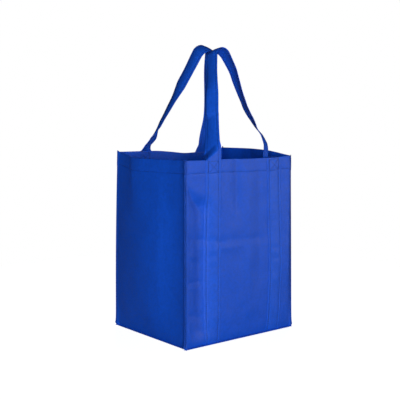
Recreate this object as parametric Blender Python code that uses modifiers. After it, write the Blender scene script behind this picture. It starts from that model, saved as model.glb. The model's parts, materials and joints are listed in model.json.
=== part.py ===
"""Stitched non-woven carrier bag: four side panels, a base and two long handle straps.

Metres, +Z up. The origin is on the floor under the middle of the bag, the front panel
faces -Y and the side gussets face -X and +X. Every edge where two panels meet is a seam
with its allowances turned outwards, and the straps lie flat on the front and back panels
from the bottom seam to the rim, where they leave the cloth as two twisted handles.
"""

import math
from typing import NamedTuple

import bmesh
import bpy
from mathutils import Matrix, Vector

# Driving dimensions of the bag, between its corner seams
BAG_WIDTH = 0.320
BAG_DEPTH = 0.258
BAG_HEIGHT = 0.400

# Cloth, seams and hem
CLOTH = 0.0006
LAYER_GAP = 0.0003
SEAM_ALLOWANCE = 0.006
HEM_DEPTH = 0.030
BASE_SEAM_HEIGHT = 0.0034
BASE_SEAM_SLOPE = math.radians(22.0)
BASE_RAMP = 0.022

# How the empty, soft bag stands
TOP_DRAW_IN = 0.006
WALL_BELLY = 0.004
BELLY_AT_FOOT = 0.12
BELLY_AT_RIM = 0.90
BELLY_START = 0.125
RIM_SAG = 0.004
RIM_SAG_FADE = 5
BUCKLE_DEPTH = 0.0015
BUCKLES_UP = 3

# The right side is pushed in by this much at its foot and at its rim
FRONT_RIGHT_IN = (0.0145, 0.0105)
BACK_RIGHT_IN = (0.0, 0.004)
PUSHED_FROM = 0.107
PUSHED_WHOLE_FROM = 0.150

# Handle straps
STRAP_WIDTH = 0.040
STRAP_THICKNESS = 0.0012
STRAP_SPACING = 0.169
STRAP_LIFT = 0.0015
ARM_FOOT_HEIGHT = 0.005
ARM_FOOT_IN = 0.010
RELEASE_SHARE = 0.07

# How finely the soft shapes are divided
WALL_ROWS = 20
WALL_COLUMN = 0.018
ARM_STEPS = 26

BLUE = (0.020, 0.075, 0.480, 1.0)
STRAP_BLUE = (0.030, 0.100, 0.530, 1.0)

# Layers that lie on each other are this far apart, middle to middle
LAYER_STEP = CLOTH + LAYER_GAP
STRAP_STANDOFF = CLOTH / 2 + LAYER_GAP + STRAP_THICKNESS / 2
ALONG = Vector((1, 0, 0))
OUT = Vector((0, -1, 0))
UP = Vector((0, 0, 1))
BASE_FIN = SEAM_ALLOWANCE * (math.cos(BASE_SEAM_SLOPE) * OUT - math.sin(BASE_SEAM_SLOPE) * UP)
BASE_FIN_FACE = math.sin(BASE_SEAM_SLOPE) * OUT + math.cos(BASE_SEAM_SLOPE) * UP


class Handle(NamedTuple):
    """How a handle loops up from its panel, seen from outside the bag.

    The top is the middle of the strap at its highest place. Each twist is the strap's turn
    in degrees at shares of the length of an arm, from the rim to the top.
    """

    middle_x: float
    arm_foot_x: float
    top_y: float
    top_z: float
    top_radius: float
    left_twist: tuple
    right_twist: tuple


FRONT_HANDLE = Handle(
    middle_x=0.0036, arm_foot_x=0.0822, top_y=-0.0317, top_z=0.6299, top_radius=0.0208,
    left_twist=((0.0, 20), (0.10, 56), (0.3, 84), (0.75, 88), (1.0, 83)),
    right_twist=((0.0, 12), (0.12, 40), (0.3, 56), (0.5, 65), (0.75, 70), (1.0, 83)),
)
BACK_HANDLE = Handle(
    middle_x=-0.0061, arm_foot_x=0.0855, top_y=-0.0109, top_z=0.6346, top_radius=0.0216,
    left_twist=((0.0, 10), (0.12, 39), (0.3, 74), (0.5, 88), (1.0, 85)),
    right_twist=((0.0, 8), (0.09, 31), (0.25, 58), (0.4, 63), (0.55, 80), (0.63, 90), (1.0, 85)),
)


def clear_scene():
    """Start from an empty scene with one collection named for the bag."""
    for old in list(bpy.data.objects):
        bpy.data.objects.remove(old, do_unlink=True)
    collection = bpy.data.collections.new("non_woven_bag")
    bpy.context.scene.collection.children.link(collection)
    return collection


def cloth_material(name, colour):
    """Matte spun-bonded polypropylene cloth."""
    material = bpy.data.materials.new(name)
    material.use_nodes = True
    shader = material.node_tree.nodes["Principled BSDF"]
    shader.inputs["Base Color"].default_value = colour
    shader.inputs["Roughness"].default_value = 0.75
    shader.inputs["Metallic"].default_value = 0.0
    return material


def smooth(value):
    """Ease from 0 to 1 as the value goes from 0 to 1."""
    value = min(max(value, 0.0), 1.0)
    return value * value * (3 - 2 * value)


def settled(point):
    """Where a point of the straight-sided bag lies as the bag stands, a little askew."""
    up = min(max(point.z / BAG_HEIGHT, 0.0), 1.0)
    back = min(max(0.5 + point.y / BAG_DEPTH, 0.0), 1.0)
    at_front, at_back = (foot + (rim - foot) * up for foot, rim in (FRONT_RIGHT_IN, BACK_RIGHT_IN))
    reach = (point.x - PUSHED_FROM) / (PUSHED_WHOLE_FROM - PUSHED_FROM)
    pushed = (at_front + (at_back - at_front) * back) * min(max(reach, 0.0), 1.0)
    return Vector((point.x - pushed, point.y, point.z))


def add_cloth(collection, sheet, name, thickness, material, placement):
    """Turn an open sheet into one closed, named piece of cloth and put it in its place."""
    for vert in sheet.verts:
        vert.co = settled(placement @ vert.co)
    bmesh.ops.recalc_face_normals(sheet, faces=sheet.faces)
    mesh = bpy.data.meshes.new(name)
    sheet.to_mesh(mesh)
    sheet.free()
    mesh.materials.append(material)
    piece = bpy.data.objects.new(name, mesh)
    solidify = piece.modifiers.new("cloth thickness", "SOLIDIFY")
    solidify.thickness = thickness
    solidify.offset = 0.0
    solidify.solidify_mode = "NON_MANIFOLD"
    solidify.nonmanifold_thickness_mode = "CONSTRAINTS"
    solidify.nonmanifold_merge_threshold = 0.00001
    collection.objects.link(piece)


def extrude_border(sheet, edges, move):
    """Extrude a border of a sheet, move the new points and return the new border."""
    made = bmesh.ops.extrude_edge_only(sheet, edges=edges)["geom"]
    points = {item for item in made if isinstance(item, bmesh.types.BMVert)}
    for point in points:
        point.co = move(point.co)
    lines = [item for item in made if isinstance(item, bmesh.types.BMEdge)]
    return [line for line in lines if points.issuperset(line.verts)]


class Wall:
    """One side of the bag in its own frame: x along it, z up and -y outwards."""

    def __init__(self, width, distance, strapped):
        self.distance = distance
        self.strapped = strapped
        self.half = width / 2 - LAYER_STEP / math.sqrt(2)
        self.foot = BASE_SEAM_HEIGHT + LAYER_STEP
        self.top = BAG_HEIGHT - CLOTH / 2

    def columns(self):
        """Places across the wall, with one at each edge and middle of its straps."""
        marks = [-self.half, self.half]
        if self.strapped:
            for middle in (-STRAP_SPACING / 2, STRAP_SPACING / 2):
                marks += [middle - STRAP_WIDTH / 2, middle, middle + STRAP_WIDTH / 2]
        marks.sort()
        places = marks[:1]
        for left, right in zip(marks, marks[1:]):
            steps = max(1, round((right - left) / WALL_COLUMN))
            places += [left + (right - left) * step / steps for step in range(1, steps + 1)]
        return places

    def rows(self):
        """Heights up the wall, with one at the lower edge of the hem."""
        hem = BAG_HEIGHT - HEM_DEPTH
        below = [self.foot + (hem - self.foot) * row / WALL_ROWS for row in range(WALL_ROWS)]
        return below + [hem, (hem + self.top) / 2, self.top]

    def point(self, x, z, standoff=0.0):
        """A point of the cloth's middle surface, or of a layer that stands off outwards."""
        height = (z - self.foot) / (self.top - self.foot)
        across = 1 - (x / self.half) ** 2
        phase = BELLY_AT_FOOT + (BELLY_AT_RIM - BELLY_AT_FOOT) * height
        rounding = math.sin(math.pi * phase) * smooth(height / BELLY_START)
        buckle = math.sin(2 * math.pi * x / self.half) * math.sin(BUCKLES_UP * math.pi * height)
        bulge = across * (WALL_BELLY * rounding + BUCKLE_DEPTH * buckle)
        sag = RIM_SAG * across * smooth(height) ** RIM_SAG_FADE
        draw_in = TOP_DRAW_IN * height
        return Vector((x * (1 - draw_in / self.half), draw_in - bulge - standoff, z - sag))

    def sheet(self):
        """The cloth's middle surface with its seam allowances and its folded hem."""
        columns, rows = self.columns(), self.rows()
        sheet = bmesh.new()
        bmesh.ops.create_grid(sheet, x_segments=len(columns) - 1, y_segments=len(rows) - 1, size=0.5)
        borders = {"left": [], "right": [], "foot": [], "top": []}
        for edge in sheet.edges:
            if edge.is_boundary:
                borders[border_name((edge.verts[0].co + edge.verts[1].co) / 2)].append(edge)
        for vert in sheet.verts:
            column = round((vert.co.x + 0.5) * (len(columns) - 1))
            row = round((vert.co.y + 0.5) * (len(rows) - 1))
            vert.co = self.point(columns[column], rows[row])

        fin = SEAM_ALLOWANCE / math.sqrt(2) + LAYER_STEP / 2
        extrude_border(sheet, borders["left"], lambda co: co + fin * (OUT - ALONG))
        extrude_border(sheet, borders["right"], lambda co: co + fin * (OUT + ALONG))
        extrude_border(sheet, borders["foot"], self.base_fin)
        fold = extrude_border(sheet, borders["top"], self.turned_in)
        extrude_border(sheet, fold, lambda co: co - HEM_DEPTH * UP)
        return sheet

    def base_fin(self, co):
        """The outer edge of the bottom seam's allowance, mitred at both ends of the wall."""
        at_corner = abs(abs(co.x) - self.half) < CLOTH / 100
        mitre = math.copysign(SEAM_ALLOWANCE * math.cos(BASE_SEAM_SLOPE), co.x) if at_corner else 0.0
        return co + BASE_FIN + mitre * ALONG

    def turned_in(self, co):
        """A point of the rim after the hem has been turned over to the inside."""
        rim_half = self.half - TOP_DRAW_IN
        return Vector((co.x * (rim_half - LAYER_STEP) / rim_half, co.y + LAYER_STEP, co.z))


def border_name(middle):
    """Which side of a unit grid an edge lies on, from the middle of the edge."""
    if abs(middle.x) > abs(middle.y):
        return "left" if middle.x < 0 else "right"
    return "foot" if middle.y < 0 else "top"


def build_base(collection, material):
    """The bottom panel: flat on the floor, rising to the seam that runs round it."""
    sheet = bmesh.new()
    bmesh.ops.create_grid(sheet, x_segments=1, y_segments=1, size=1.0)
    for vert in sheet.verts:
        vert.co.x *= BAG_WIDTH / 2 - BASE_RAMP
        vert.co.y *= BAG_DEPTH / 2 - BASE_RAMP
        vert.co.z = CLOTH / 2

    def outwards(step, rise):
        return lambda co: co + Vector((math.copysign(step, co.x), math.copysign(step, co.y), rise))

    border = [edge for edge in sheet.edges if edge.is_boundary]
    border = extrude_border(sheet, border, outwards(BASE_RAMP, BASE_SEAM_HEIGHT - CLOTH / 2))
    extrude_border(sheet, border, outwards(-BASE_FIN.y, BASE_FIN.z))
    add_cloth(collection, sheet, "base_panel", CLOTH, material, Matrix.Identity(4))


class HandleArm:
    """The free strap between the rim and the top of a handle, as a twisted ribbon.

    The arm runs straight up from its foot, in a plane that leans in over the bag, and
    meets the arm from the other side in an arc. It turns about its own run on the way.
    """

    def __init__(self, wall, handle, side):
        self.foot = Vector((0, ARM_FOOT_IN - wall.distance, BAG_HEIGHT + ARM_FOOT_HEIGHT))
        self.radius = handle.top_radius
        self.middle = handle.middle_x * ALONG
        self.side = side
        self.twist = handle.left_twist if side < 0 else handle.right_twist
        rise = Vector((0, handle.top_y, handle.top_z)) - self.foot
        self.upwards = rise.normalized()
        self.outwards = ALONG.cross(self.upwards)
        self.arc_height = rise.length - self.radius
        span = math.hypot(handle.arm_foot_x, self.arc_height)
        self.straight = math.sqrt(span ** 2 - self.radius ** 2)
        self.arc_start = math.acos(self.radius / span) - math.atan2(self.arc_height, handle.arm_foot_x)
        self.length = self.straight + self.radius * (math.pi / 2 - self.arc_start)

    def turn(self, share):
        """The strap's turn in radians at a share of the arm's length."""
        for (low, low_turn), (high, high_turn) in zip(self.twist, self.twist[1:]):
            if share <= high:
                return math.radians(low_turn + (high_turn - low_turn) * (share - low) / (high - low))
        return math.radians(self.twist[-1][1])

    def rail(self, share, offsets):
        """A line of points across the ribbon at a share of the arm's length."""
        run = share * self.length
        angle = self.arc_start + max(0.0, run - self.straight) / self.radius
        away = math.cos(angle) * ALONG + math.sin(angle) * self.upwards
        along = math.cos(angle) * self.upwards - math.sin(angle) * ALONG
        middle = self.foot + self.arc_height * self.upwards + self.radius * away
        middle -= max(0.0, self.straight - run) * along
        face = math.cos(self.turn(share)) * self.outwards + math.sin(self.turn(share)) * away
        mirror = Vector((self.side, 1, 1))
        return [self.middle + mirror * (middle + offset * along.cross(face)) for offset in offsets]


def strap_rails(wall, handle, side):
    """Lines across half a strap, from the bottom seam to the top of its handle.

    The side is -1 for the half at the left of the wall and 1 for the half at its right.
    """
    offsets = (-STRAP_WIDTH / 2, 0.0, STRAP_WIDTH / 2)
    on_panel = [side * (STRAP_SPACING / 2 + offset) for offset in offsets]
    to_wall = wall.distance * OUT
    corner_rise = STRAP_STANDOFF * (1 - math.sin(BASE_SEAM_SLOPE)) / math.cos(BASE_SEAM_SLOPE)
    seam_end = wall.foot * UP + BASE_FIN + STRAP_STANDOFF * BASE_FIN_FACE
    rails = [[to_wall + seam_end + x * ALONG for x in on_panel]]
    for z in [wall.foot + corner_rise] + wall.rows()[1:]:
        rails.append([to_wall + wall.point(x, z, STRAP_STANDOFF) for x in on_panel])

    arm = HandleArm(wall, handle, side)
    rim = rails[-1]
    for step in range(ARM_STEPS + 1):
        share = step / ARM_STEPS
        held = [point + (STRAP_LIFT + share * arm.length) * UP for point in rim]
        free = arm.rail(share, offsets)
        rails.append([low.lerp(high, smooth(share / RELEASE_SHARE)) for low, high in zip(held, free)])
    return rails


def build_strap(collection, material, name, wall, handle, turn):
    """One long strap: up its panel, over as a handle and down the panel again."""
    rails = strap_rails(wall, handle, -1)[:-1] + strap_rails(wall, handle, 1)[::-1]
    sheet = bmesh.new()
    lines = [[sheet.verts.new(point) for point in rail] for rail in rails]
    for low, high in zip(lines, lines[1:]):
        for corners in zip(low, low[1:], high[1:], high):
            sheet.faces.new(corners)
    add_cloth(collection, sheet, name, STRAP_THICKNESS, material, turn)


def main():
    """Build the seven pieces of the bag."""
    collection = clear_scene()
    cloth = cloth_material("blue_non_woven", BLUE)
    strap_cloth = cloth_material("blue_strap", STRAP_BLUE)
    panel = Wall(BAG_WIDTH, BAG_DEPTH / 2, True)
    gusset = Wall(BAG_DEPTH, BAG_WIDTH / 2, False)
    placed = (("front_panel", panel, 0), ("right_gusset", gusset, 90),
              ("back_panel", panel, 180), ("left_gusset", gusset, 270))
    for name, wall, degrees in placed:
        turn = Matrix.Rotation(math.radians(degrees), 4, "Z")
        place = turn @ Matrix.Translation(wall.distance * OUT)
        add_cloth(collection, wall.sheet(), name, CLOTH, cloth, place)
    build_base(collection, cloth)

    about_face = Matrix.Rotation(math.pi, 4, "Z")
    build_strap(collection, strap_cloth, "front_handle_strap", panel, FRONT_HANDLE, Matrix.Identity(4))
    build_strap(collection, strap_cloth, "back_handle_strap", panel, BACK_HANDLE, about_face)


main()
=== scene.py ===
"""A stitched non-woven carrier bag, standing open with its two long handles up.

Metres, +Z up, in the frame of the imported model. The front panel faces -Y and the left
gusset faces -X. Each wall is one sheet of embossed cloth that runs from the bottom seam
up to the rim and is turned over inside as a hem, with its seam allowances at both sides.
Each handle strap is one sheet that climbs its panel, twists over as a handle and comes
down the panel again.
"""

import json
import logging
import math
from dataclasses import dataclass, field
from enum import Enum
from typing import Optional, Sequence

import bpy
import numpy as np
from mathutils import Vector
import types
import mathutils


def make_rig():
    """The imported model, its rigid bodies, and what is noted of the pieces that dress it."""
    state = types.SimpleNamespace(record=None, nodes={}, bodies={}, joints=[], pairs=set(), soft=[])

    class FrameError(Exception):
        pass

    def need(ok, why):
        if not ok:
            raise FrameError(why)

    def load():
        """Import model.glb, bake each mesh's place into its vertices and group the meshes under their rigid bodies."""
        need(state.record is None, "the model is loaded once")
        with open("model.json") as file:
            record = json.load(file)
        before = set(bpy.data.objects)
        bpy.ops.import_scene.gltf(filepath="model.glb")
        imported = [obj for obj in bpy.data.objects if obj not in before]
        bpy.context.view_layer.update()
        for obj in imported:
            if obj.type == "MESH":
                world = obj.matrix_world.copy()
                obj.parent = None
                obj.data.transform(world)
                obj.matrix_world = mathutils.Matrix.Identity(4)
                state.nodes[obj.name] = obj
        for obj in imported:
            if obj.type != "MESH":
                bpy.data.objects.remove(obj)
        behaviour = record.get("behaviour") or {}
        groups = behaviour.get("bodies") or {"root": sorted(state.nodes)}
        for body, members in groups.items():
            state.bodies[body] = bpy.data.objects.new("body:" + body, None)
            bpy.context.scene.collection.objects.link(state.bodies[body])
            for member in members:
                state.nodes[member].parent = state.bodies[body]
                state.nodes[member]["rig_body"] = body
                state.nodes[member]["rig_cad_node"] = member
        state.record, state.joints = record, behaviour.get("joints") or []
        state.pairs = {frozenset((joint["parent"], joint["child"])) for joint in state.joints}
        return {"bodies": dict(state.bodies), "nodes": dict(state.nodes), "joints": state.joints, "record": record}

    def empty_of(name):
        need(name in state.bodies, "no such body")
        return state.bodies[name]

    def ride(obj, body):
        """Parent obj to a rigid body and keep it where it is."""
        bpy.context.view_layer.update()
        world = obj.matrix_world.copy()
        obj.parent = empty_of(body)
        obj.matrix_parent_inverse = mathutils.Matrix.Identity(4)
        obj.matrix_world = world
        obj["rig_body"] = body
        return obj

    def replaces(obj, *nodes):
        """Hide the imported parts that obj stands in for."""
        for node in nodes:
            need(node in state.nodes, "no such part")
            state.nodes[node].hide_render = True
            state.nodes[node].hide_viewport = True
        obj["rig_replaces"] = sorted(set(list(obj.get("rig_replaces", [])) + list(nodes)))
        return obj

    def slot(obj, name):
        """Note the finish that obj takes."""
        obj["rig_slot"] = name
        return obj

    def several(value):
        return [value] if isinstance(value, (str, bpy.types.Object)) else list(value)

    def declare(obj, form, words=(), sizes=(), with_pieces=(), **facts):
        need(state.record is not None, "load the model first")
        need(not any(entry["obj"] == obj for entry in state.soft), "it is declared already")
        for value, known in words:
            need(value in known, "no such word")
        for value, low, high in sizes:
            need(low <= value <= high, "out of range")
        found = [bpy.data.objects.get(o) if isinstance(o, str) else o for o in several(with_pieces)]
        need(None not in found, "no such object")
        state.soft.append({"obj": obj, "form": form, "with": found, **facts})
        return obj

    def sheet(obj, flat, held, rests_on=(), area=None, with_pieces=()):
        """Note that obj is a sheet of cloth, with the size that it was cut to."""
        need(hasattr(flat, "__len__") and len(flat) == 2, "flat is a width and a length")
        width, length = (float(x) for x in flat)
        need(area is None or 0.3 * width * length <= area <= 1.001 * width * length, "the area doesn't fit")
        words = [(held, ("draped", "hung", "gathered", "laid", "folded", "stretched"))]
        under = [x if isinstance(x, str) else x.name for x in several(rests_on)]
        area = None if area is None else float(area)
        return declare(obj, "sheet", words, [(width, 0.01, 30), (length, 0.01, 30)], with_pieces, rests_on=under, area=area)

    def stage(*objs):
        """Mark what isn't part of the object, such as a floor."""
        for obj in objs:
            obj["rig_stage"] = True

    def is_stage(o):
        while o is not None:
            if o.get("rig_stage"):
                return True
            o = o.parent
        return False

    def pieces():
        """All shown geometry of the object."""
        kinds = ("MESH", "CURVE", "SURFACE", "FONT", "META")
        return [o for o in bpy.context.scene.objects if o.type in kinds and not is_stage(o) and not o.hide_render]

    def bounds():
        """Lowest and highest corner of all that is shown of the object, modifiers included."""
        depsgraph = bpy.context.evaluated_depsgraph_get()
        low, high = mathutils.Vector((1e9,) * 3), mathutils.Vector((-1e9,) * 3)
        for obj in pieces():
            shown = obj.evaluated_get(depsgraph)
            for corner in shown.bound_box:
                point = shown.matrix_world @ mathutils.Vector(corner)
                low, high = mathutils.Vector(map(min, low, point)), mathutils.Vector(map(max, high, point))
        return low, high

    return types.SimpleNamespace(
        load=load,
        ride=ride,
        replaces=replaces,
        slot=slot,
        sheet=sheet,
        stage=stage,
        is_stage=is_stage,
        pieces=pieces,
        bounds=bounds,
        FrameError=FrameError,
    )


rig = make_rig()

log = logging.getLogger("carrier_bag")

Array = np.ndarray
Material = bpy.types.Material
Piece = bpy.types.Object
Socket = bpy.types.NodeSocket

MM = 0.001

# The walls: their cloth from the foot seam to the rim, and the hem turned in there
CLOTH = 0.5 * MM
LAYER = 0.45 * MM
WALL_HEIGHT = 400 * MM
WALL_TALL = 396 * MM
HEM = 30 * MM
HEM_EDGE = 33 * MM
HEM_EDGE_REACH = 4 * MM
HEM_STITCH = 27 * MM
HEM_STEP = 1.1 * MM
HEM_TURN = (35, 90, 145)
HEM_ROWS = (0.0, 2.0, 6.0, 11.0, 16.0, 21.0, 25.6, 27.0, 28.4, 30.0)
HEM_GROOVE = 0.45 * MM
OFF_CLOTH = CLOTH / 2 + 0.1 * MM

# The seams: fins at the corners and round the base
FIN = 6 * MM
FIN_COLUMNS = np.array([6, 4, 2, 0.7]) * MM
FIN_STITCH = 2.3 * MM
SEAM_STIFF = 9 * MM
FOOT = 3.4 * MM
FOOT_INSET = 3.4 * MM
FOOT_INSET_REACH = 10 * MM
FOOT_TIP_RISE = 3.5 * MM
FOOT_TIP_REACH = 9 * MM
BASE_FIN = 4 * MM
BASE_FIN_ROWS = (BASE_FIN, 3.2 * MM, 1.4 * MM)
BASE_FIN_OUT = math.cos(math.radians(28))
BASE_FIN_DOWN = math.sin(math.radians(28))
BASE_STITCH = 1.9 * MM

# The handle straps
STRAP_WIDTH = 40 * MM
STRAP_CLOTH = 0.9 * MM
STRAP_STANDOFF = 1.1 * MM
STITCH_OFFSET = 14 * MM
STITCH_COLUMNS = (4, 16)
HEM_BOX = np.array([(-13.2, 2.5), (13.2, 2.5), (13.2, 27.0), (-13.2, 27.0), (-13.2, 2.5)])

# The thread's radius, a little over a real one's
WALL_THREAD = 0.36 * MM
STRAP_THREAD = 0.5 * MM


def smooth(value: Array) -> Array:
    """Ease from 0 to 1 as the value goes from 0 to 1."""
    value = np.clip(value, 0.0, 1.0)
    return value * value * (3 - 2 * value)


def unit(vectors: Array) -> Array:
    """Scale each row to length one."""
    return vectors / np.linalg.norm(vectors, axis=-1, keepdims=True)


def near_foot(up: Array, reach: float) -> Array:
    """Fade from 1 at the foot to 0 over a reach in metres, at shares of the height."""
    return np.exp(-up * WALL_HEIGHT / reach)


@dataclass(frozen=True)
class Track:
    """A smooth curve through knots, each a place and a value."""

    knots: tuple[tuple[float, float], ...]

    def at(self, places: Array) -> Array:
        """Read the curve.

        Args:
            places: Where to read it; beyond the end knots it keeps their values.

        Returns:
            The values there, in the shape of places.
        """
        x, y = np.array(self.knots, float).T
        steps = np.diff(y) / np.diff(x)
        slopes = np.zeros_like(y)
        before, after = steps[:-1], steps[1:]
        turning = before * after > 0
        slopes[1:-1][turning] = (2 * before * after / (before + after + 1e-12))[turning]
        slopes[0], slopes[-1] = steps[0], steps[-1]
        places = np.clip(np.asarray(places, float), x[0], x[-1])
        left = np.clip(np.searchsorted(x, places, side="right") - 1, 0, len(x) - 2)
        width = x[left + 1] - x[left]
        share = (places - x[left]) / width
        rest = 1 - share
        return (
            y[left] * (1 + 2 * share) * rest ** 2
            + slopes[left] * width * share * rest ** 2
            + y[left + 1] * share ** 2 * (3 - 2 * share)
            + slopes[left + 1] * width * share ** 2 * (share - 1)
        )


@dataclass(frozen=True)
class Fold:
    """A soft ridge or valley in a wall, along a straight run, in millimetres.

    Its ends are places from the wall's left seam and above the floor, seen from outside.
    A negative height is a valley.
    """

    start: tuple[float, float]
    end: tuple[float, float]
    width: float
    height: float
    end_width: Optional[float] = None

    def lift(self, across: Array, up: Array) -> Array:
        """How far the fold stands out of the wall.

        Args:
            across: Metres from the wall's left seam.
            up: Metres over the floor.

        Returns:
            Distances in metres, outwards.
        """
        start, end = np.array(self.start) * MM, np.array(self.end) * MM
        run = end - start
        length = math.hypot(*run)
        run = run / length
        along = (across - start[0]) * run[0] + (up - start[1]) * run[1]
        aside = (across - start[0]) * run[1] - (up - start[1]) * run[0]
        share = np.clip(along / length, 0, 1)
        beyond = along - share * length
        width = (self.width + ((self.end_width or self.width) - self.width) * share) * MM
        fade = np.exp(-(beyond / (0.8 * width)) ** 2)
        taper = 0.35 + 0.65 * np.sin(math.pi * (0.12 + 0.76 * share))
        return self.height * MM * taper * fade * np.exp(-np.abs(aside / width) ** 1.7)


@dataclass(frozen=True)
class Ripples:
    """Small random waves that soften a sheet, the same ones on each run.

    Height and lengths are millimetres.
    """

    seed: int
    height: float = 0.32
    lengths: tuple[float, float] = (22.0, 95.0)
    count: int = 26

    def lift(self, across: Array, up: Array) -> Array:
        """How far the waves stand out of the sheet.

        Args:
            across: Metres along the sheet.
            up: Metres the other way.

        Returns:
            Distances in metres.
        """
        made = np.random.default_rng(self.seed)
        total = np.zeros_like(across)
        for _ in range(self.count):
            length = made.uniform(*self.lengths) * MM
            angle, phase = made.uniform(0, 2 * math.pi, 2)
            turn = 2 * math.pi / length
            wave = np.sin(turn * (across * math.cos(angle) + up * math.sin(angle)) + phase)
            total += wave * length / (self.lengths[1] * MM)
        return total * self.height * MM / math.sqrt(self.count / 2)


@dataclass(frozen=True)
class Corner:
    """One upright corner seam, from the floor to the rim.

    The fin is the pair of seam allowances that stand out of the seam; its directions are
    degrees from +X towards +Y. Its tip rises over the rim by the tip rise.
    """

    foot: tuple[float, float]
    rim: tuple[float, float]
    fin_foot: float
    fin_rim: float
    lean: float = 1.0
    tip_rise: float = 2.5 * MM

    def line(self, up: Array) -> Array:
        """The seam's places over the floor at shares of its height."""
        share = (up ** self.lean)[..., None]
        return np.array(self.foot) * (1 - share) + np.array(self.rim) * share

    def fin(self, up: Array) -> Array:
        """The direction of the seam's fin at shares of its height."""
        angle = np.radians(self.fin_foot + (self.fin_rim - self.fin_foot) * up)
        return np.stack([np.cos(angle), np.sin(angle)], axis=-1)


class Side(Enum):
    """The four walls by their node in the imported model."""

    FRONT = "front_panel"
    RIGHT = "right_gusset"
    BACK = "back_panel"
    LEFT = "left_gusset"


@dataclass
class Sheet:
    """A rectangle of cloth, made with Blender's own tools.

    Points are rows by columns of places, in metres. Across and along are the places of
    its columns and rows on the flat cloth.
    """

    name: str
    points: Array
    across: Array
    along: Array
    thickness: float

    def build(self) -> Piece:
        """Lay a primitive grid over the points and thicken it.

        Returns:
            The cloth, with a UV map in metres and smooth shading.
        """
        rows, columns = self.points.shape[:2]
        bpy.ops.object.select_all(action="DESELECT")
        bpy.ops.mesh.primitive_grid_add(
            x_subdivisions=columns - 1, y_subdivisions=rows - 1, size=1.0, location=(0, 0, 0)
        )
        sheet = bpy.context.object
        mesh = sheet.data
        sheet.name = mesh.name = self.name
        flat = np.zeros(len(mesh.vertices) * 3)
        mesh.vertices.foreach_get("co", flat)
        spots = (flat.reshape(-1, 3)[:, :2] + 0.5) * (columns - 1, rows - 1)
        column, row = np.rint(spots).astype(int).T
        mesh.vertices.foreach_set("co", self.points[row, column].ravel())
        corners = np.zeros(len(mesh.loops), int)
        mesh.loops.foreach_get("vertex_index", corners)
        chart = np.stack([self.across[column], self.along[row]], axis=-1)
        mesh.uv_layers[0].data.foreach_set("uv", chart[corners].ravel())
        mesh.update()
        solidify = sheet.modifiers.new("cloth thickness", "SOLIDIFY")
        solidify.thickness = self.thickness
        solidify.offset = 0.0
        solidify.use_even_offset = False
        bpy.ops.object.modifier_apply(modifier=solidify.name)
        bpy.ops.object.shade_smooth_by_angle(angle=math.radians(60))
        return sheet


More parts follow.
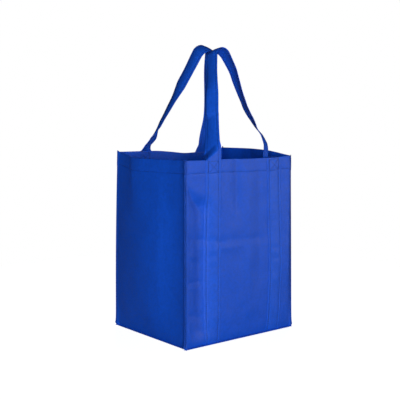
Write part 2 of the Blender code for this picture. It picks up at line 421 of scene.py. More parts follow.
@dataclass
class Wall:
    """One side of the bag: a sheet with side fins, a foot fin and a turned-in hem.

    The rim is a height in metres at shares of the width. The three swells are bulges in
    millimetres at shares of the width, near the foot, half way up and at the rim.
    """

    side: Side
    left: Corner
    right: Corner
    rim: Track
    swells: tuple[Track, Track, Track]
    folds: tuple[Fold, ...]
    seed: int
    belly: float
    column_step: float = 3.0 * MM
    row_step: float = 3.2 * MM

    def width(self) -> float:
        """The wall's width along the floor, from seam to seam."""
        return math.dist(self.left.foot, self.right.foot)

    def tall(self, across: Array) -> Array:
        """The cloth's height from its foot to the rim at shares of the width."""
        return self.rim.at(across) - FOOT

    def outward(self, up: Array) -> Array:
        """The horizontal direction out of the bag at shares of the height."""
        run = unit(self.right.line(up) - self.left.line(up))
        return np.stack([run[..., 1], -run[..., 0]], axis=-1)

    def bow(self, across: Array, up: Array) -> Array:
        """How far the cloth stands out of the flat between its two seams.

        Args:
            across: Shares of the width from the left seam, seen from outside.
            up: Shares of the height from the foot.

        Returns:
            Distances in metres, outwards.
        """
        inside, width = np.clip(across, 0, 1), self.width()
        aside, tall = inside * width, self.tall(inside)
        fullness = np.sin(math.pi * (0.1 + 0.74 * np.clip(up, 0, 1)))
        lift = self.belly * 4 * inside * (1 - inside) * fullness
        low, middle, high = (swell.at(inside) * MM for swell in self.swells)
        swell = low + (middle - low) * smooth(up * 2) + (high - middle) * smooth(up * 2 - 1)
        lift = (lift + swell) * smooth(up * 6 + 0.06)
        loose = Ripples(self.seed).lift(aside, FOOT + up * tall)
        for fold in self.folds:
            loose = loose + fold.lift(aside, FOOT + up * tall)
        stitched = (1 - up) * tall - HEM_STITCH
        groove = HEM_GROOVE * np.exp(-(stitched / (1.5 * MM)) ** 2)
        free = smooth(aside / SEAM_STIFF) * smooth((1 - inside) * width / SEAM_STIFF)
        lift = lift + loose * free * smooth(up * 30) - groove * free
        return lift - FOOT_INSET * near_foot(up, FOOT_INSET_REACH)

    def surface(self, across: Array, up: Array, off: float | Array = 0.0) -> Array:
        """Points of the wall's middle surface.

        Args:
            across: Shares of the width from the left seam, seen from outside.
            up: Shares of the height from the foot to the rim.
            off: How far to stand off outwards, in metres.

        Returns:
            Places in metres, in the shape of across and up with a last axis of 3.
        """
        across, up = np.broadcast_arrays(np.asarray(across, float), np.asarray(up, float))
        inside = np.clip(across, 0, 1)
        left, right = self.left.line(up), self.right.line(up)
        plan = left + (right - left) * inside[..., None]
        plan = plan + self.outward(up) * (self.bow(across, up) + off)[..., None]
        height = FOOT + up * self.tall(inside)
        return np.concatenate([plan, height[..., None]], axis=-1)

    def spot(self, x: Array, z: Array) -> tuple[Array, Array]:
        """Shares across and up of a place on a front or back wall.

        Args:
            x: World X, in metres.
            z: Height over the floor, in metres.

        Returns:
            The shares across the wall and up it.
        """
        x, z = np.broadcast_arrays(np.asarray(x, float), np.asarray(z, float))
        across = up = np.full(x.shape, 0.5)
        for _ in range(3):
            up = (z - FOOT) / self.tall(across)
            left, right = (seam.line(np.clip(up, 0, 1))[..., 0] for seam in (self.left, self.right))
            across = np.clip((x - left) / (right - left), 0, 1)
        return across, up

    def columns(self) -> tuple[Array, Array]:
        """Place the sheet's columns.

        Returns:
            Each column's share across, and how far out on a fin it lies.
        """
        count = round(self.width() / self.column_step)
        edge = 4.5 * MM / self.width() * np.array([0.3, 0.62])
        inner = np.sort(np.concatenate([np.linspace(0, 1, count + 1), edge, 1 - edge]))
        across = np.concatenate([FIN_COLUMNS * 0, inner, FIN_COLUMNS * 0 + 1])
        fin = np.concatenate([FIN_COLUMNS, inner * 0, FIN_COLUMNS[::-1]])
        return across, fin

    def rows(self) -> Array:
        """Place the sheet's rows.

        Returns:
            Shares of the height from the foot to the rim, closer together at the hem.
        """
        count = round((WALL_TALL - HEM) / self.row_step)
        low = np.linspace(0, 1 - HEM / WALL_TALL, count + 1)
        down = [28.3, 27.6, 27.0, 26.4, 25.6, 22.0, 18.0, 14.0, 10.0, 6.5, 3.5, 1.5, 0.0]
        return np.sort(np.concatenate([[0.004, 0.012], low, 1 - np.array(down) * MM / WALL_TALL]))

    def place(self, across: Array, up: Array, fin: Array, inwards: float) -> Array:
        """Points of one row, fins included.

        Args:
            across: Shares across for each column.
            up: The row's share of the height, one for each column.
            fin: How far out on a fin each column lies, in metres.
            inwards: How far the layer lies inside the wall's own, in metres.

        Returns:
            One point for each column.
        """
        points = self.surface(across, up, -inwards)
        doubled = smooth((HEM_EDGE - (1 - up) * WALL_TALL) / HEM_EDGE_REACH)
        layer = LAYER * (0.8 + 1.3 * doubled) - inwards * 0.85
        rise = FOOT_TIP_RISE * fin / FIN * near_foot(up, FOOT_TIP_REACH)
        for corner, mine in ((self.left, across <= 0), (self.right, across >= 1)):
            fins = corner.fin(up)
            beside = np.stack([-fins[:, 1], fins[:, 0]], axis=-1)
            facing = np.sign(np.sum(beside * self.outward(up), axis=-1, keepdims=True))
            out = fin + FOOT_INSET * near_foot(up, FOOT_INSET_REACH)
            plan = corner.line(up) + fins * out[:, None] + beside * facing * layer[:, None]
            points[mine, :2] = plan[mine]
            tip = corner.tip_rise * (fin / FIN) ** 0.7 * smooth((up - 0.9) * 10)
            points[mine, 2] += (tip + rise)[mine]
        return points

    def build(self) -> Piece:
        """Make the wall's cloth as one sheet.

        Returns:
            The finished, thick sheet.
        """
        across, fin = self.columns()
        on_wall = fin == 0
        foot, rim = np.zeros_like(across), np.ones_like(across)
        outwards = self.outward(foot)
        rows = []
        for out in BASE_FIN_ROWS:
            row = self.place(across, foot, fin, 0.0)
            row[on_wall, :2] += outwards[on_wall] * out * BASE_FIN_OUT
            row[on_wall, 2] -= out * BASE_FIN_DOWN
            row[~on_wall, 2] -= (out * (0.5 - 0.4 * fin / FIN))[~on_wall]
            rows.append((row, -out))
        for up in self.rows():
            rows.append((self.place(across, rim * up, fin, 0.0), up * WALL_TALL))
        for angle in HEM_TURN:
            turn = math.radians(angle)
            row = self.place(across, rim, fin, HEM_STEP * (1 - math.cos(turn)) / 2)
            row[:, 2] += HEM_STEP / 2 * math.sin(turn)
            rows.append((row, WALL_TALL + angle * 0.006 * MM))
        for down in HEM_ROWS:
            row = self.place(across, rim - down * MM / WALL_TALL, fin, HEM_STEP)
            rows.append((row, WALL_TALL + 2 * MM + down * MM))
        points, lengths = (np.array(part) for part in zip(*rows))
        aside = across * self.width() + np.where(across <= 0, -fin, fin)
        return Sheet(f"{self.side.value}_cloth", points, aside, lengths, CLOTH).build()

    def hem_line(self, inside: bool) -> Array:
        """The hem's stitch line as points about 1 mm apart.

        Args:
            inside: True for the line as it shows inside the bag.

        Returns:
            Places along the line, just off the cloth.
        """
        across = np.linspace(0.006, 0.994, int(self.width() / MM))
        off = -HEM_STEP - OFF_CLOTH if inside else OFF_CLOTH
        return self.surface(across, 1 - HEM_STITCH / self.tall(across), off)

    def seam_lines(self) -> list[Array]:
        """The stitches of the two corner seams on this wall's fins, and of its foot.

        Returns:
            Three lines of places, just off the cloth.
        """
        ups = np.linspace(0.012, 0.996, 130)
        lines = []
        for share in (0.0, 1.0):
            across, fin = np.full(ups.shape, share), np.full(ups.shape, FIN_STITCH)
            lines.append(self.place(across, ups, fin, -CLOTH / 2 - 0.12 * MM))
        across = np.linspace(0.004, 0.996, 110)
        foot = self.surface(across, across * 0)
        foot[:, :2] += self.outward(across * 0) * BASE_STITCH * BASE_FIN_OUT
        foot[:, 2] += OFF_CLOTH - BASE_STITCH * BASE_FIN_DOWN
        return lines + [foot]


@dataclass
class Base:
    """The bottom panel: slack on the floor and rising to the seam that runs round it."""

    corners: tuple[Corner, Corner, Corner, Corner]
    ramp: float = 16 * MM
    step: float = 5 * MM
    slack: Ripples = Ripples(31, 0.5, (40, 120))

    def shares(self, length: float) -> Array:
        """Place the sheet's rows or columns.

        Args:
            length: The base's length that way, in metres.

        Returns:
            Shares of the length, below 0 and above 1 on the fins.
        """
        edge = np.array([0.0, 1.5, 4.0, 7.0, 10.0, 13.0, 16.0]) * MM
        inner = np.linspace(20 * MM, length - 20 * MM, round((length - 40 * MM) / self.step))
        fins = np.array([-BASE_FIN, -2.5 * MM])
        return np.concatenate([fins, edge, inner, length - edge[::-1], length - fins[::-1]]) / length

    def build(self) -> Piece:
        """Make the bottom panel as one sheet.

        Returns:
            The finished, thick sheet.
        """
        feet = np.array([corner.foot for corner in self.corners])
        width, depth = math.dist(feet[0], feet[1]), math.dist(feet[0], feet[3])
        across, along = np.meshgrid(self.shares(width), self.shares(depth))
        out_x = np.maximum(-across, across - 1).clip(0) * width
        out_y = np.maximum(-along, along - 1).clip(0) * depth
        x, y = across.clip(0, 1), along.clip(0, 1)
        weights = ((1 - x) * (1 - y), x * (1 - y), x * y, (1 - x) * y)
        plan = sum(foot * weight[..., None] for foot, weight in zip(feet, weights))
        inset = FOOT_INSET + LAYER
        middle = feet.mean(axis=0)
        plan = middle + (plan - middle) * (1 - 2 * inset / np.array([width, depth]))
        plan[..., 0] += np.sign(across - 0.5) * out_x * BASE_FIN_OUT
        plan[..., 1] += np.sign(along - 0.5) * out_y * BASE_FIN_OUT
        edge = np.minimum(np.minimum(x, 1 - x) * width, np.minimum(y, 1 - y) * depth)
        climb = FOOT - 0.75 * MM - CLOTH / 2
        height = CLOTH / 2 + climb * (1 - smooth(edge / self.ramp))
        slack = np.abs(self.slack.lift(plan[..., 0], plan[..., 1]))
        height = height + slack * smooth(edge / (25 * MM))
        height = height - np.maximum(out_x, out_y) * BASE_FIN_DOWN
        height = np.maximum(height, CLOTH / 2)
        points = np.concatenate([plan, height[..., None]], axis=-1)
        flat = (across[0] * width, along[:, 0] * depth)
        return Sheet("base_panel_cloth", points, *flat, CLOTH).build()


@dataclass(frozen=True)
class Arm:
    """One free half of a handle, from the rim up to the middle of its top.

    Twist is the turn of the strap's face out of the handle's own plane, in degrees, along
    shares of the arm. Aside and proud move the arm in and out of that plane, in
    millimetres. Cup rounds the strap across its width, crease folds its outer part from a
    place across it, and gather draws that part together. Its inner and outer edges leave
    the panel's plane at their own heights over the rim, in millimetres, which makes a
    slanting fold. Drawn down is how far over the rim a gathered foot keeps low.
    """

    twist: Track
    aside: Track
    proud: Track
    cup: Track = Track(((0.0, 0.0), (0.2, 14.0), (0.85, 14.0), (1.0, 4.0)))
    crease: Track = Track(((0.0, 0.0), (1.0, 0.0)))
    gather: Track = Track(((0.0, 1.0), (1.0, 1.0)))
    crease_at: float = 2.0
    inner_free: float = 0.0
    outer_free: float = 0.0
    loosening: float = 9.0
    drawn_down: float = 0.1


@dataclass
class Handle:
    """A long strap that is sewn up a panel on both sides and loops over as a handle.

    The loop is two straight arms, from feet that lie foot_x to each side of its middle at
    foot_y and foot_z, and a round top of a radius that peaks at top_y and top_z, in
    metres. A handle that faces 1 is described turned about, as if it faced -Y. The lines
    are the straps' middles on the panel, in millimetres. A pucker is a height and a size
    in millimetres.
    """

    name: str
    wall: Wall
    facing: int
    middle: float
    foot_x: float
    foot_y: float
    top_y: float
    top_z: float
    radius: float
    left_arm: Arm
    right_arm: Arm
    left_line: Track
    right_line: Track
    puckers: tuple[tuple[float, float], ...]
    foot_z: float = 0.405
    step: float = 2.6 * MM
    close: float = 45 * MM

    # The sheet's columns, and its rows on the panel: over the floor, then under the rim
    OFFSETS = np.array([-20, -19.4, -18, -15.6, -14, -12.4, -10, -7.5, -5, -2.5, 0,
                        2.5, 5, 7.5, 10, 12.4, 14, 15.6, 18, 19.4, 20]) * MM
    LOW_ROWS = np.concatenate([[FOOT, 5 * MM, 7.5 * MM], np.arange(11 * MM, 0.3635, 3.4 * MM)])
    HEM_ROWS = np.array([30, 28, 27, 26, 24, 20, 15, 10, 6, 3, 1, 0.0]) * MM

    # Where the rows under the rim and the boxes of stitches are read across the panel
    HEM_LEVEL = 390 * MM
    BOX_LEVEL = 380 * MM
    BOX_LINE = 395 * MM

    def profile(self, offsets: Array) -> Array:
        """Shape the folded strap's face across its width.

        Args:
            offsets: Places across the strap from its middle, in metres.

        Returns:
            How far the face stands out there: a pillow between two stitched grooves.
        """
        groove = np.exp(-((np.abs(offsets) - STITCH_OFFSET) / (1.1 * MM)) ** 2)
        edge = smooth((np.abs(offsets) - 18.6 * MM) / (1.6 * MM))
        pillow = np.clip(1 - (offsets / STITCH_OFFSET) ** 2, 0, 1)
        return (0.45 * pillow - 0.85 * groove - 0.6 * edge) * MM

    def line_at(self, side: int, height: float | Array) -> Array:
        """World X of a strap's middle on its panel, at heights in metres."""
        line = self.left_line if side < 0 else self.right_line
        return line.at(np.atleast_1d(height) / MM) * MM

    def lifted(self, across: Array, up: Array, height: float) -> Array:
        """One rail of the strap on its panel, with its own profile and its puckers.

        Args:
            across: Shares across the wall, one for each offset.
            up: Shares up the wall.
            height: The rail's height in metres.

        Returns:
            One point for each offset.
        """
        sizes = (size * math.exp(-((height / MM - at) / 4.0) ** 2) for at, size in self.puckers)
        inner = np.clip(1 - (self.OFFSETS / (13 * MM)) ** 2, 0, 1)
        off = STRAP_STANDOFF + self.profile(self.OFFSETS) + sum(sizes) * inner * MM
        return self.wall.surface(across, up, off)

    def on_panel(self, side: int) -> list[tuple[Array, float]]:
        """Rails of the strap up its panel.

        Args:
            side: -1 for the strap on the left in world X, 1 for the one on the right.

        Returns:
            The rails from the foot to the rim, each with its length from the foot.
        """
        rails = []
        for height in self.LOW_ROWS:
            x = self.line_at(side, height) + side * self.OFFSETS
            rails.append((self.lifted(*self.wall.spot(x, height), height), height))
        for down in self.HEM_ROWS:
            height = WALL_TALL - down
            x = self.line_at(side, height) + side * self.OFFSETS
            across, _ = self.wall.spot(x, self.HEM_LEVEL)
            up = 1 - down / self.wall.tall(across)
            rails.append((self.lifted(across, up, height), height))
        outwards = self.wall.outward(np.zeros(1))[0]
        start = []
        for out in BASE_FIN_ROWS:
            row = rails[0][0].copy()
            row[:, :2] += outwards * out * BASE_FIN_OUT
            row[:, 2] += 0.5 * MM - out * BASE_FIN_DOWN
            start.append((row, -out))
        return start + rails

    def arm(self, side: int) -> list[tuple[Array, float]]:
        """Rails of one arm from the rim to the middle of the handle's top.

        Args:
            side: -1 for the left arm in world X, 1 for the right one.

        Returns:
            The rails, each with its length from the rim.
        """
        arm = self.left_arm if side < 0 else self.right_arm
        foot = np.array([0.0, self.foot_y, self.foot_z])
        rise = np.array([0.0, self.top_y, self.top_z]) - foot
        tall = np.linalg.norm(rise)
        upwards = rise / tall
        along_x = np.array([1.0, 0.0, 0.0])
        outwards = np.array([0.0, -upwards[2], upwards[1]])
        centre = tall - self.radius
        span = math.hypot(self.foot_x, centre)
        straight = math.sqrt(span ** 2 - self.radius ** 2)
        arc_start = math.acos(self.radius / span) - math.atan2(centre, self.foot_x)
        length = straight + self.radius * (math.pi / 2 - arc_start)
        count = round((length - self.close) / self.step)
        runs = np.concatenate([
            np.arange(0.0, self.close, self.step / 2), np.linspace(self.close, length, count)
        ])
        rails = []
        for run in runs:
            share = run / length
            angle = arc_start + max(0.0, run - straight) / self.radius
            away = math.cos(angle) * along_x + math.sin(angle) * upwards
            along = math.cos(angle) * upwards - math.sin(angle) * along_x
            middle = foot + centre * upwards + self.radius * away
            middle = middle - max(0.0, straight - run) * along
            middle = middle + float(arm.aside.at(share)) * MM * away
            middle = middle + float(arm.proud.at(share)) * MM * outwards
            rail = self.section(arm, middle, share, along, away, outwards)
            rail = rail * np.array([side, -self.facing, 1])
            rails.append((rail + np.array([self.middle, 0, 0]), run))
        return rails

    def section(
        self, arm: Arm, middle: Array, share: float,
        along: Array, away: Array, outwards: Array,
    ) -> Array:
        """One rail across the free strap, bent as the cloth is there.

        Args:
            arm: The arm's shape.
            middle: The middle of the strap here.
            share: How far along the arm this is.
            along: The direction of the arm.
            away: The direction aside, away from the middle of the loop.
            outwards: The direction out of the handle's plane, away from the bag.

        Returns:
            One point for each offset, from the inner edge to the outer one.
        """
        offsets = self.OFFSETS
        between = (offsets[1:] + offsets[:-1]) / 2
        turned = float(arm.twist.at(share)) + float(arm.cup.at(share)) * between / (STRAP_WIDTH / 2)
        beyond = smooth((between / MM - arm.crease_at) / 4.0 + 0.5)
        angles = np.radians(turned + float(arm.crease.at(share)) * beyond)
        faces = np.cos(angles)[:, None] * outwards + np.sin(angles)[:, None] * away
        drawn = np.where(between > arm.crease_at * MM, float(arm.gather.at(share)), 1.0)
        steps = np.cross(along, faces) * (np.diff(offsets) * drawn)[:, None]
        places = np.concatenate([np.zeros((1, 3)), np.cumsum(steps, axis=0)])
        places = places - (places[0] + places[-1]) / 2
        normals = np.concatenate([faces[:1], unit(faces[1:] + faces[:-1]), faces[-1:]])
        return middle + places + normals * self.profile(offsets)[:, None] * 0.7

    def rails(self) -> tuple[Array, Array]:
        """All of the strap's rails from one foot to the other.

        Returns:
            The rails and their lengths along the strap.
        """
        halves = []
        for side, arm in ((-1, self.left_arm), (1, self.right_arm)):
            low, high = self.on_panel(side), self.arm(side)
            shares = self.OFFSETS / STRAP_WIDTH + 0.5
            leaving = arm.inner_free + (arm.outer_free - arm.inner_free) * shares
            for rail, run in high:
                over = run / MM + 1
                held = low[-1][0] + np.array([0, 0, over * MM])
                low_share = 1 - float(smooth(np.array(over / arm.drawn_down)))
                rail[:, 2] = held[:, 2] * low_share + rail[:, 2] * (1 - low_share)
                blend = smooth((over - leaving) / arm.loosening)[:, None]
                rail[:] = held * (1 - blend) + rail * blend
            halves.append(low + [(rail, WALL_TALL + MM + run) for rail, run in high])
        left, right = halves
        top = left[-1][1]
        whole = left[:-1] + [(rail, 2 * top - run) for rail, run in right[::-1]]
        points, lengths = (np.array(part) for part in zip(*whole))
        return points, lengths

    def stitch_lines(self) -> list[Array]:
        """The two rows of stitches along the whole strap, on both of its faces.

        Returns:
            Four lines of places, just off the cloth.
        """
        points, _ = self.rails()
        down, over = np.gradient(points, axis=0), np.gradient(points, axis=1)
        normals = unit(np.cross(over, down)) * -self.facing
        lines = []
        for column in STITCH_COLUMNS:
            for lift in (STRAP_CLOTH / 2 + 0.05 * MM, -STRAP_CLOTH / 2 - 0.05 * MM):
                lines.append(points[4:-4, column] + normals[4:-4, column] * lift)
        return lines

    def on_strap(self, side: int, offset: Array, down: Array, lift: float | Array) -> Array:
        """Points over the strap where it lies on its panel.

        Args:
            side: -1 for the strap on the left in world X, 1 for the one on the right.
            offset: Metres across the strap from its middle.
            down: Metres below the rim.
            lift: Metres out of the panel.

        Returns:
            The places in metres.
        """
        x = self.line_at(side, self.BOX_LINE - down) + offset
        across, _ = self.wall.spot(x, self.BOX_LEVEL)
        return self.wall.surface(across, 1 - down / self.wall.tall(across), lift)

    def box_lines(self) -> list[Array]:
        """The crossed box of stitches that holds each strap to the hem, on both faces.

        Returns:
            Lines of places, just off the strap outside and off the hem inside.
        """
        outside = STRAP_STANDOFF + STRAP_CLOTH / 2 + 0.12 * MM
        lines = []
        for side in (-1, 1):
            for lift in (outside, -HEM_STEP - OFF_CLOTH):
                for path in (HEM_BOX, HEM_BOX[[0, 2]], HEM_BOX[[1, 3]]):
                    places = np.arange(0, len(path) - 1 + 1e-6, 0.05)
                    offset, down = (
                        np.interp(places, range(len(path)), path[:, axis]) * MM for axis in (0, 1)
                    )
                    shape = self.profile(offset) if lift > 0 else 0.0
                    lines.append(self.on_strap(side, offset, down, lift + shape))
        return lines

    def build(self) -> Piece:
        """Make the strap as one sheet.

        Returns:
            The finished, thick strap.
        """
        points, lengths = self.rails()
        order = -self.facing
        offsets = self.OFFSETS[::order]
        return Sheet(self.name, points[:, ::order], offsets, lengths, STRAP_CLOTH).build()


class Shades:
    """A small kit for wiring the nodes of one material, or of the world."""

    def __init__(
        self, owner: Material | bpy.types.World, shader: str = "Principled BSDF"
    ) -> None:
        """Give the owner its plain nodes.

        Args:
            owner: The material or the world.
            shader: The name of its shader node.
        """
        owner.use_nodes = True
        self.owner, self.tree = owner, owner.node_tree
        self.shader = self.tree.nodes[shader]
        self.column = 0

    def link(self, source: object, target: Socket) -> None:
        """Feed a socket.

        Args:
            source: Another socket, or a plain value.
            target: The socket that takes it.
        """
        if isinstance(source, Socket):
            self.tree.links.new(source, target)
        else:
            target.default_value = source

    def node(self, kind: str, *values: object, **settings: object) -> bpy.types.Node:
        """Add a node.

        Args:
            kind: Its type, without the leading "ShaderNode".
            values: Sockets or plain values that feed its first inputs.
            settings: Its properties.

        Returns:
            The node.
        """
        made = self.tree.nodes.new(f"ShaderNode{kind}")
        self.column -= 40
        made.location = (self.column, -60 * (self.column % 7))
        for name, value in settings.items():
            setattr(made, name, value)
        for value, socket in zip(values, made.inputs):
            self.link(value, socket)
        return made

    def out(self, kind: str, *values: object, **settings: object) -> Socket:
        """The first output of a new node."""
        return self.node(kind, *values, **settings).outputs[0]

    def math(self, operation: str, *values: object) -> Socket:
        """A Math node over up to three values."""
        return self.out("Math", *values, operation=operation)

    def vector(self, operation: str, *values: object) -> Socket:
        """A Vector Math node."""
        made = self.node("VectorMath", *values, operation=operation)
        return made.outputs["Value" if operation == "LENGTH" else "Vector"]

    def scaled(self, value: object, factor: object) -> Socket:
        """A vector or a colour times a factor."""
        return self.vector("SCALE", value, (0, 0, 0), (0, 0, 0), factor)

    def noise(self, place: Socket, scale: float, detail: float, roughness: float = 0.5) -> Socket:
        """A Noise Texture read at a place."""
        return self.out("TexNoise", place, 0.0, scale, detail, roughness)

    def ramp(self, value: Socket, low: float, high: float, start: float, end: float) -> Socket:
        """A smooth Map Range from low..high to start..end."""
        return self.out("MapRange", value, low, high, start, end, interpolation_type="SMOOTHSTEP")

    def bumped(self, height: Socket, strength: float, distance: float) -> Socket:
        """The normal of a surface that a height raises, by a distance in metres."""
        made = self.node("Bump", strength, distance)
        self.link(height, made.inputs["Height"])
        return made.outputs["Normal"]

    def finish(self, **inputs: object) -> object:
        """Feed the shader.

        Args:
            inputs: Sockets or plain values, by the input's name with underscores.

        Returns:
            The material or the world.
        """
        for name, value in inputs.items():
            self.link(value, self.shader.inputs[name.replace("_", " ")])
        return self.owner


@dataclass(frozen=True)
class NonWovenCloth:
    """Spun-bonded cloth: pressed dots, fine fibres and a cloudy, uneven web."""

    name: str
    colour: tuple[float, float, float]
    dot_pitch: float = 1.5 * MM
    dot_tone: float = 0.15
    roughness: float = 0.52
    cloudiness: float = 0.10
    relief: float = 0.7

    def dots(self, kit: Shades, chart: Socket) -> Socket:
        """Wire the pressed dots, in two grids that lie between each other.

        Args:
            kit: The material's kit.
            chart: The UV map, in metres.

        Returns:
            1 on a dot and 0 beside it.
        """
        scaled = kit.scaled(chart, 1 / self.dot_pitch)
        reach = []
        for shift in ((0.0, 0.0, 0.0), (0.5, 0.5, 0.0)):
            cell = kit.vector("FRACTION", kit.vector("ADD", scaled, shift))
            reach.append(kit.vector("LENGTH", kit.vector("SUBTRACT", cell, (0.5, 0.5, 0.0))))
        return kit.ramp(kit.math("MINIMUM", *reach), 0.16, 0.30, 1.0, 0.0)

    def build(self) -> Material:
        """Wire the material.

        Returns:
            The cloth's material.
        """
        kit = Shades(bpy.data.materials.new(self.name))
        chart = kit.node("TexCoord").outputs["UV"]
        dot = self.dots(kit, chart)
        stretched = kit.out("Mapping", chart, (0, 0, 0), (0, 0, 0), (1.0, 0.35, 1.0))
        fibre = kit.noise(stretched, 2600.0, 3.0, 0.65)
        cloud = kit.noise(chart, 150.0, 4.0, 0.6)
        broad = kit.noise(chart, 34.0, 2.0)
        tone = kit.ramp(cloud, 0.28, 0.72, 1 - self.cloudiness, 1 + self.cloudiness)
        tone = kit.math("MULTIPLY", tone, kit.ramp(broad, 0.3, 0.7, 0.975, 1.025))
        tone = kit.math("MULTIPLY", tone, kit.ramp(fibre, 0.3, 0.7, 0.93, 1.07))
        undotted = kit.math("SUBTRACT", 1.0, kit.math("MULTIPLY", dot, self.dot_tone))
        tone = kit.math("MULTIPLY", tone, undotted)
        rough = kit.ramp(cloud, 0.3, 0.7, self.roughness - 0.05, self.roughness + 0.06)
        rough = kit.math("SUBTRACT", rough, kit.math("MULTIPLY", dot, 0.12))
        height = kit.math("MULTIPLY", dot, -0.6)
        height = kit.math("ADD", height, kit.math("MULTIPLY", fibre, 0.5))
        height = kit.math("ADD", height, kit.math("MULTIPLY", cloud, 0.9))
        return kit.finish(
            Base_Color=kit.scaled(self.colour, tone), Roughness=rough, Specular_IOR_Level=0.22,
            Normal=kit.bumped(height, self.relief, 0.15 * MM),
        )


@dataclass(frozen=True)
class SewingThread:
    """Twisted polyester thread."""

    name: str
    colour: tuple[float, float, float]

    def build(self) -> Material:
        """Wire the material.

        Returns:
            The thread's material.
        """
        kit = Shades(bpy.data.materials.new(self.name))
        ply = kit.noise(kit.node("TexCoord").outputs["Object"], 1800.0, 2.0)
        painted = kit.scaled(self.colour, kit.ramp(ply, 0.3, 0.7, 0.8, 1.15))
        return kit.finish(
            Base_Color=painted, Roughness=0.45, Specular_IOR_Level=0.3,
            Normal=kit.bumped(ply, 0.4, 0.1 * MM),
        )


@dataclass
class Needlework:
    """Rows of stitches, all copied from one modelled stitch."""

    pitch: float = 4.2 * MM
    gap: float = 0.9 * MM
    stitch: Array = field(init=False)
    faces: list[tuple[int, ...]] = field(init=False)

    def __post_init__(self) -> None:
        """Model one stitch along X, one unit long and one unit in radius."""
        bpy.ops.object.select_all(action="DESELECT")
        bpy.ops.mesh.primitive_uv_sphere_add(
            segments=6, ring_count=5, radius=1.0, rotation=(0, math.pi / 2, 0)
        )
        ball = bpy.context.object
        bpy.ops.object.transform_apply(location=False, rotation=True, scale=False)
        self.stitch = np.array([vertex.co for vertex in ball.data.vertices])
        self.stitch[:, 0] = np.sign(self.stitch[:, 0]) * np.abs(self.stitch[:, 0]) ** 0.5
        # The sphere tool gives its faces in no fixed order, so they are put in one
        faces = [tuple(face.vertices) for face in ball.data.polygons]
        firsts = [face.index(min(face)) for face in faces]
        self.faces = sorted(face[first:] + face[:first] for face, first in zip(faces, firsts))
        bpy.data.objects.remove(ball, do_unlink=True)

    def laid(self, line: Array, radius: float) -> Array:
        """Lay stitches along one line.

        Args:
            line: A path of points on the cloth.
            radius: The thread's radius in metres.

        Returns:
            Stitches by points by 3 places.
        """
        runs = np.concatenate([[0], np.cumsum(np.linalg.norm(np.diff(line, axis=0), axis=1))])
        numbers = np.arange(max(1, int(runs[-1] / self.pitch)))
        spots = (numbers * self.pitch, (numbers + 1) * self.pitch - self.gap)
        start, end = (
            np.stack([np.interp(spot, runs, axis) for axis in line.T], axis=-1) for spot in spots
        )
        forward = unit(end - start)
        aside = np.cross(forward, (0.0, 0.0, 1.0))
        steep = np.linalg.norm(aside, axis=1) < 0.1
        aside[steep] = np.cross(forward[steep], (0.0, 1.0, 0.0))
        aside = unit(aside) * radius
        basis = np.stack([(end - start) / 2, aside, np.cross(forward, aside)], axis=1)
        return (start + end)[:, None] / 2 + self.stitch @ basis

    def sew(self, name: str, lines: Sequence[Array], radius: float) -> Piece:
        """Sew rows of stitches along lines.

        Args:
            name: The new object's name.
            lines: Each a path of points on the cloth.
            radius: The thread's radius in metres.

        Returns:
            One mesh with a closed stitch at each place.
        """
        points = np.concatenate([self.laid(line, radius) for line in lines]).reshape(-1, 3)
        faces = [
            tuple(first + corner for corner in face)
            for first in range(0, len(points), len(self.stitch)) for face in self.faces
        ]
        mesh = bpy.data.meshes.new(name)
        mesh.from_pydata(points.tolist(), [], faces)
        mesh.update()
        thread = bpy.data.objects.new(name, mesh)
        bpy.context.scene.collection.objects.link(thread)
        bpy.ops.object.select_all(action="DESELECT")
        thread.select_set(True)
        bpy.context.view_layer.objects.active = thread
        bpy.ops.object.shade_smooth()
        return thread


@dataclass
class Bag:
    """The whole bag: its walls, its base, its handles and its stitching."""

    walls: dict[Side, Wall]
    base: Base
    handles: tuple[Handle, Handle]
    cloth: Material
    strap_cloth: Material
    thread: Material

    def dress(self, piece: Piece, material: Material, slot: str) -> Piece:
        """Give a piece its material, its slot and its place on the bag's body.

        Args:
            piece: The piece.
            material: Its finish.
            slot: The material slot's name in the record.

        Returns:
            The same piece.
        """
        piece.data.materials.clear()
        piece.data.materials.append(material)
        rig.ride(piece, "root")
        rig.slot(piece, slot)
        log.info("%s: %d faces", piece.name, len(piece.data.polygons))
        return piece

    def build(self) -> None:
        """Build, dress and declare every piece."""
        needle = Needlework()
        threads: dict[str, list[Piece]] = {}
        for side, wall in self.walls.items():
            lines = [wall.hem_line(False), wall.hem_line(True)] + wall.seam_lines()
            thread = needle.sew(f"{side.value}_thread", lines, WALL_THREAD)
            threads[side.value] = [self.dress(thread, self.thread, "strap_cloth")]
        for side, wall in self.walls.items():
            piece = self.dress(wall.build(), self.cloth, "bag_cloth")
            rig.replaces(piece, side.value)
            cut = (wall.width() + 2 * FIN, WALL_TALL + HEM + BASE_FIN)
            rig.sheet(piece, flat=cut, held="stretched", rests_on=["base_panel_cloth"],
                     with_pieces=threads[side.value])
        base = self.dress(self.base.build(), self.cloth, "bag_cloth")
        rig.replaces(base, "base_panel")
        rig.sheet(base, flat=(0.308, 0.254), held="laid")
        for handle, node in zip(self.handles, ("front_handle_strap", "back_handle_strap")):
            strap = self.dress(handle.build(), self.strap_cloth, "strap_cloth")
            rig.replaces(strap, node)
            lines = handle.stitch_lines() + handle.box_lines()
            thread = needle.sew(f"{node}_thread", lines, STRAP_THREAD)
            self.dress(thread, self.thread, "strap_cloth")
            _, lengths = handle.rails()
            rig.sheet(strap, flat=(STRAP_WIDTH, float(lengths[-1] - lengths[0])), held="draped",
                     rests_on=[f"{handle.wall.side.value}_cloth"], with_pieces=[thread])


